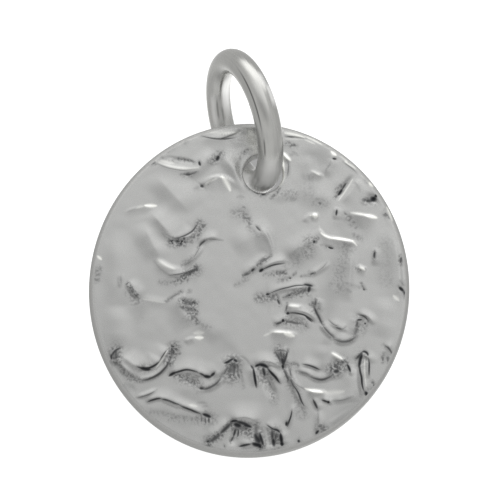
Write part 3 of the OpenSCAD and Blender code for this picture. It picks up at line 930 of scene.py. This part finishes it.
def build_disc():
    """The disc as one closed mesh that carries what its material paints."""
    x, y, triangles, lip = open_hole(*face_grid())
    height, to_dark, hatch, streak = face_surface(x, y)
    half = DISC_THICKNESS / 2
    points, faces = [np.stack([x, y, half + height], 1)], [triangles]
    # Tarnish and painted shade, and painted highlights, at each point of the face
    dark, bright = [to_dark], [painted_glint_distance(x, y + TABLE_SHIFT)]

    def add_loop(loop, side, row, shade, inwards=False):
        """Adds a loop of points on an edge, and the band up to the loop before it."""
        plain = np.zeros(len(loop))
        fresh = sum(len(rows) for rows in points) + np.arange(len(loop))
        points.append(np.stack(row, 1))
        faces.append(strip(fresh, loop) if inwards else strip(loop, fresh))
        dark.append(plain + (shade if side > 0 else BACK_SHADE))
        bright.append(painted_glint_distance(row[0], row[1] + TABLE_SHIFT) if side > 0 else plain + FAR)
        return fresh

    size = SECTORS * FACE_RINGS
    angle = 2 * np.pi * np.arange(size) / size
    loop = np.arange(len(x) - size, len(x))
    for share, side, out, drop in edge_steps(EDGE_RADIUS, TOP_EDGE_STEPS, BACK_EDGE_STEPS):
        level = np.full(size, side * (half - drop))
        row = [(FLAT_X + out) * np.cos(angle), (FLAT_Y + out) * np.sin(angle), level]
        shade = RIM_SHADE + SHADE_RISE * abs(share - RIM_SHADE_PLACE)
        loop = add_loop(loop, side, row, shade)

    angle = np.arctan2(y[lip] - HOLE_DISTANCE, x[lip])
    beside = np.abs(np.degrees(angle) - LIP_SHADE_PLACE) - LIP_SHADE_SPAN
    shade = LIP_SHADE + SHADE_RISE * smooth(beside / LIP_SHADE_FADE)
    loop = lip
    for _, side, out, drop in edge_steps(LIP_RADIUS, LIP_STEPS, LIP_STEPS):
        radius = HOLE_RADIUS + LIP_RADIUS - out
        level = half + height[lip] - drop if side > 0 else np.full(len(lip), drop - half)
        row = [radius * np.cos(angle), HOLE_DISTANCE + radius * np.sin(angle), level]
        loop = add_loop(loop, side, row, shade, inwards=True)

    points = disc_place(np.concatenate(points)) * MM
    mesh = bpy.data.meshes.new("coin_disc_hammered")
    mesh.from_pydata(points.tolist(), [], np.concatenate(faces).tolist())
    close_back(mesh)
    mesh.update()
    plain = len(points) - len(x)
    paint(mesh, "to_dark", np.concatenate(dark))
    paint(mesh, "to_bright", np.concatenate(bright))
    paint(mesh, "hatch", np.append(hatch, np.zeros(plain)))
    paint(mesh, "streak", np.concatenate([streak, np.zeros((plain, 3))]))
    paint(mesh, "edge", np.append(np.zeros(len(x)), np.ones(plain)))
    mesh.shade_smooth()
    return placed(bpy.data.objects.new("coin_disc_hammered", mesh))


def placed(made):
    """Puts a new object into the scene."""
    bpy.context.scene.collection.objects.link(made)
    return made


def paint(mesh, name, values):
    """Keeps a number or a vector for each point, for the material to read."""
    vector = values.ndim == 2
    layer = mesh.attributes.new(name, "FLOAT_VECTOR" if vector else "FLOAT", "POINT")
    layer.data.foreach_set("vector" if vector else "value", values.astype(np.float32).ravel())


def close_back(mesh):
    """Fills the flat back between the rim and the hole."""
    bm = bmesh.new()
    bm.from_mesh(mesh)
    bmesh.ops.bridge_loops(bm, edges=[edge for edge in bm.edges if edge.is_boundary])
    bm.to_mesh(mesh)
    bm.free()


class Nodes:
    """Adds nodes to a material or a world. Inputs are plain values or the outputs of other nodes."""

    def __init__(self, owner):
        owner.use_nodes = True
        self.tree = owner.node_tree

    def fill(self, name, inputs):
        slots = self.tree.nodes[name].inputs
        for slot, value in inputs.items():
            if isinstance(value, bpy.types.NodeSocket):
                self.tree.links.new(value, slots[slot])
            else:
                slots[slot].default_value = value

    def add(self, kind, inputs, **settings):
        node = self.tree.nodes.new("ShaderNode" + kind)
        for name, value in settings.items():
            setattr(node, name, value)
        self.fill(node.name, inputs)
        return node.outputs

    def math(self, operation, *values):
        return self.add("Math", dict(enumerate(values)), operation=operation)["Value"]

    def product(self, first, *others):
        for other in others:
            first = self.math("MULTIPLY", first, other)
        return first

    def total(self, first, *others):
        for other in others:
            first = self.math("ADD", first, other)
        return first

    def between(self, first, second, share):
        """A number that goes from the first to the second."""
        return self.total(first, self.product(share, self.math("SUBTRACT", second, first)))

    def ramp(self, value, low, high, to_low=0, to_high=1):
        """Smooth step from one number to another as the value goes from low to high."""
        inputs = dict(enumerate((value, low, high, to_low, to_high)))
        return self.add("MapRange", inputs, interpolation_type="SMOOTHSTEP")["Result"]

    def vector(self, operation, first, second, output="Vector"):
        return self.add("VectorMath", {0: first, 1: second}, operation=operation)[output]

    def noise(self, vector, scale, detail):
        spread = self.vector("MULTIPLY", vector, scale)
        return self.add("TexNoise", {"Vector": spread, "Scale": 1, "Detail": detail})["Fac"]

    def attribute(self, name, output="Fac"):
        return self.add("Attribute", {}, attribute_name=name)[output]

    def mixed(self, first, second, share):
        """A colour that goes from the first to the second."""
        inputs = {"A": first, "B": second, "Factor": share}
        return self.add("Mix", inputs, data_type="RGBA")["Result"]

    def metal(self, colour, roughness, height, strength, distance):
        """Ends a material in metal, with a bump that follows a height."""
        inputs = {"Height": height, "Strength": strength, "Distance": distance}
        bump = self.add("Bump", inputs)["Normal"]
        looks = {"Base Color": colour, "Metallic": 1, "Roughness": roughness, "Normal": bump}
        self.fill("Principled BSDF", looks)


def hammered_silver():
    """Silver with fine grain, and the creases' tarnish and painted shade and the painted highlights
    that the mesh carries.
    """
    material = bpy.data.materials.new("hammered_silver_detail")
    nodes = Nodes(material)
    ramp, product, noise = nodes.ramp, nodes.product, nodes.noise
    place = nodes.add("TexCoord", {})["Object"]
    edge = nodes.attribute("edge")

    def strokes(name, sharpness, spread=1):
        """How strongly strokes show, from their distance: 1 on them and 0 far away."""
        widths = product(nodes.attribute(name), 1 / spread)
        return nodes.math("EXPONENT", product(nodes.math("POWER", widths, sharpness), -1))

    grain = noise(place, (9000, 9000, 9000), 3)
    streaks = ramp(noise(nodes.attribute("streak", "Vector"), (7, 5, 7), 1), 0.4, 0.6)
    blotches = ramp(noise(place, (7500, 7500, 7500), 1), 0.4, 0.6)
    broken = nodes.total(product(streaks, 0.5), product(blotches, 0.5))
    hatching = product(nodes.attribute("hatch"), ramp(broken, 0.15, 0.85, 0.35, 1.15))
    # Painted soft shade that spreads around each dark stroke
    soft_shade = product(strokes("to_dark", 2, 2.3), 0.25)
    dark = nodes.math("MAXIMUM", nodes.math("MAXIMUM", strokes("to_dark", 3.4), soft_shade), hatching)

    colour = nodes.mixed(FACE_COLOUR, RIM_COLOUR, edge)
    # Creases darken with tarnish and painted shade, the edges with painted shade
    colour = nodes.mixed(colour, CREASE_TARNISH_AND_SHADE_COLOUR, nodes.math("MINIMUM", dark, 1))
    # Painted highlights and glints
    colour = nodes.mixed(colour, GLINT_PAINT_COLOUR, strokes("to_bright", 2))
    satin = nodes.total(ramp(grain, 0.3, 0.7, 0.24, 0.34), product(edge, 0.32))
    nodes.metal(colour, satin, grain, 0.03, 0.01 * MM)
    return material


def direction(turn, rise):
    """Unit vector this far round from the x axis and this far above level, in degrees."""
    turn, rise = math.radians(turn), math.radians(rise)
    level = math.cos(rise)
    return Vector((level * math.cos(turn), level * math.sin(turn), math.sin(rise)))


def polished_wire():
    """Satin wire with draw lines along it, and the painted highlights and painted shade of its
    table.
    """
    material = bpy.data.materials.new("polished_wire_detail")
    nodes = Nodes(material)
    ramp, product = nodes.ramp, nodes.product
    axle = direction(RING_TURN, -RING_LEAN)
    level = axle.cross(Vector((0, 0, 1))).normalized()
    place = nodes.add("TexCoord", {})["Object"]
    from_centre = nodes.vector("SUBTRACT", place, Vector(RING_CENTRE) * MM)

    def part(way):
        """How far a point is from the ring's centre along a direction, in millimetres."""
        return nodes.vector("DOT_PRODUCT", from_centre, way / MM, "Value")

    behind, upward = part(-level), part(level.cross(axle))
    radius = nodes.math("SQRT", nodes.total(product(behind, behind), product(upward, upward)))
    round_ring = nodes.math("ARCTAN2", behind, upward)
    round_wire = nodes.math("ARCTAN2", part(axle), nodes.math("SUBTRACT", radius, RING_RADIUS))
    wrapped = nodes.add("CombineXYZ", {"X": round_ring, "Y": round_wire})["Vector"]
    drawn = nodes.noise(wrapped, (1.6, 7, 0), 3)
    cloudy = nodes.noise(place, (900, 900, 900), 2)

    # Painted highlights gather in lighter, painted shade in darker
    lighter, darker = 0, 0
    for start, end, middle, width, tone in WIRE_HIGHLIGHT_AND_SHADE_MARKS:
        off = nodes.math("COSINE", nodes.math("SUBTRACT", round_wire, math.radians(middle)))
        outer, inner = (math.cos(math.radians(share * width)) for share in (1.6, 0.4))
        first, last = math.radians(start), math.radians(end)
        soft = (last - first) / 3
        stretch = product(ramp(round_ring, first, first + soft), ramp(round_ring, last, last - soft))
        mark = product(ramp(off, outer, inner), stretch, abs(tone))
        if tone > 0:
            lighter = nodes.math("MAXIMUM", lighter, mark)
        else:
            darker = nodes.math("MAXIMUM", darker, mark)

    colour = nodes.mixed(WIRE_COLOUR, DRAWN_COLOUR, ramp(nodes.total(drawn, cloudy), 0.75, 1.25))
    # Painted highlights lighten the wire, then painted shade darkens it
    colour = nodes.mixed(colour, PAINTED_HIGHLIGHT_COLOUR, lighter)
    colour = nodes.mixed(colour, PAINTED_SHADE_COLOUR, product(darker, ramp(drawn, 0.25, 0.45, 0.6, 1)))
    satin = nodes.total(ramp(drawn, 0.3, 0.7, 0.18, 0.28), product(lighter, 0.3))
    nodes.metal(colour, satin, drawn, 0.12, 0.02 * MM)
    return material


def pale_floor():
    """White glowing floor with a grey spot of painted shadow under the hole, unseen in reflections.
    """
    mesh = bpy.data.meshes.new("floor")
    side = 1000 * MM
    corners = [(-side, -side, 0), (side, -side, 0), (side, side, 0), (-side, side, 0)]
    mesh.from_pydata(corners, [], [(0, 1, 2, 3)])
    floor = placed(bpy.data.objects.new("floor", mesh))
    floor.visible_glossy = False
    material = bpy.data.materials.new("pale_floor")
    mesh.materials.append(material)
    nodes = Nodes(material)
    place = nodes.add("TexCoord", {})["Object"]
    apart = nodes.vector("DISTANCE", place, (0, SHADE_MIDDLE * MM, 0), "Value")
    full, none = SHADE_RADII
    # Painted shadow: less glow and a darker floor in the spot
    shade = nodes.ramp(apart, full * MM, none * MM, 0.28, 0.85)
    glow = {"Emission Color": (1, 1, 1, 1), "Emission Strength": shade}
    paper = {"Base Color": nodes.product(shade, 0.55), "Roughness": 0.9, "Specular IOR Level": 0}
    nodes.fill("Principled BSDF", {**glow, **paper})


def light_tent():
    """Soft surroundings, as the silver sees them by direction."""
    world = bpy.data.worlds.new("light_tent")
    bpy.context.scene.world = world
    nodes = Nodes(world)
    ramp, product = nodes.ramp, nodes.product
    axes = nodes.add("SeparateXYZ", {0: nodes.add("TexCoord", {})["Generated"]})
    x, y, z = axes["X"], axes["Y"], axes["Z"]

    # Overhead: brighter towards the back and the right
    slope = product(nodes.math("TANH", nodes.math("DIVIDE", y, 0.32)), 0.43)
    side = product(nodes.math("TANH", nodes.math("DIVIDE", x, 0.4)), 0.14)
    overhead = nodes.total(slope, side, OVERHEAD_LIGHT)

    # Low down all round: grey, a little paler in front, and lit by the floor at the right
    low = ramp(z, 0.05, 0.35, 0.6, 0.68)
    middle = ramp(nodes.math("ABSOLUTE", x), 0.7, 0.35)
    front = product(ramp(y, -0.2, -0.6), middle, ramp(z, -0.9, -0.5))
    around = nodes.between(low, FRONT_LIGHT, front)
    sector = product(ramp(x, 0.2, 0.6), ramp(x, 0.92, 0.78), ramp(y, 0.35, 0.05))
    around = nodes.total(around, product(sector, ramp(z, -0.15, -0.5, 0, FLOOR_GLOW)))
    tilt = nodes.math("SQRT", nodes.total(product(x, x), product(y, y)))
    light = nodes.between(overhead, around, ramp(tilt, 0.4, 0.8))

    # A window behind the charm
    pane = nodes.math("SUBTRACT", ramp(x, -0.8, -0.35), ramp(x, 0.56, 0.7))
    window = product(ramp(y, 0.4, 0.75), ramp(z, 0.15, 0.35), pane, WINDOW_LIGHT)
    light = nodes.total(light, window)
    nodes.fill("Background", {"Strength": light, "Color": (1, 1, 0.99, 1)})


def floor_light():
    """Overhead lamp that only whitens the floor: it is left out of reflections."""
    lamp = bpy.data.lights.new("floor_light", "AREA")
    lamp.size = 600 * MM
    lamp.energy = 0.25
    holder = placed(bpy.data.objects.new("floor_light", lamp))
    holder.location = Vector((0, 50, 450)) * MM
    holder.visible_glossy = False


def camera():
    """Camera that looks at the charm as the photograph does."""
    back = direction(CAMERA_AZIMUTH - 90, CAMERA_ELEVATION)
    data = bpy.data.cameras.new("camera")
    data.lens = CAMERA_LENS
    data.sensor_width = 36
    data.clip_start = 5 * MM
    data.clip_end = 10000 * MM
    holder = placed(bpy.data.objects.new("camera", data))
    holder.location = (Vector(CAMERA_TARGET) + back * CAMERA_DISTANCE) * MM
    holder.rotation_mode = "QUATERNION"
    holder.rotation_quaternion = (-back).to_track_quat("-Z", "Y")
    bpy.context.scene.camera = holder


disc = build_disc()
disc.data.materials.append(hammered_silver())
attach(disc, "root")
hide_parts("coin_disc")

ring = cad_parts["jump_ring"]
wire = polished_wire()
for slot in ring.material_slots:
    slot.material = wire

pale_floor()
light_tent()
floor_light()
camera()
bpy.context.scene.view_settings.view_transform = "Standard"
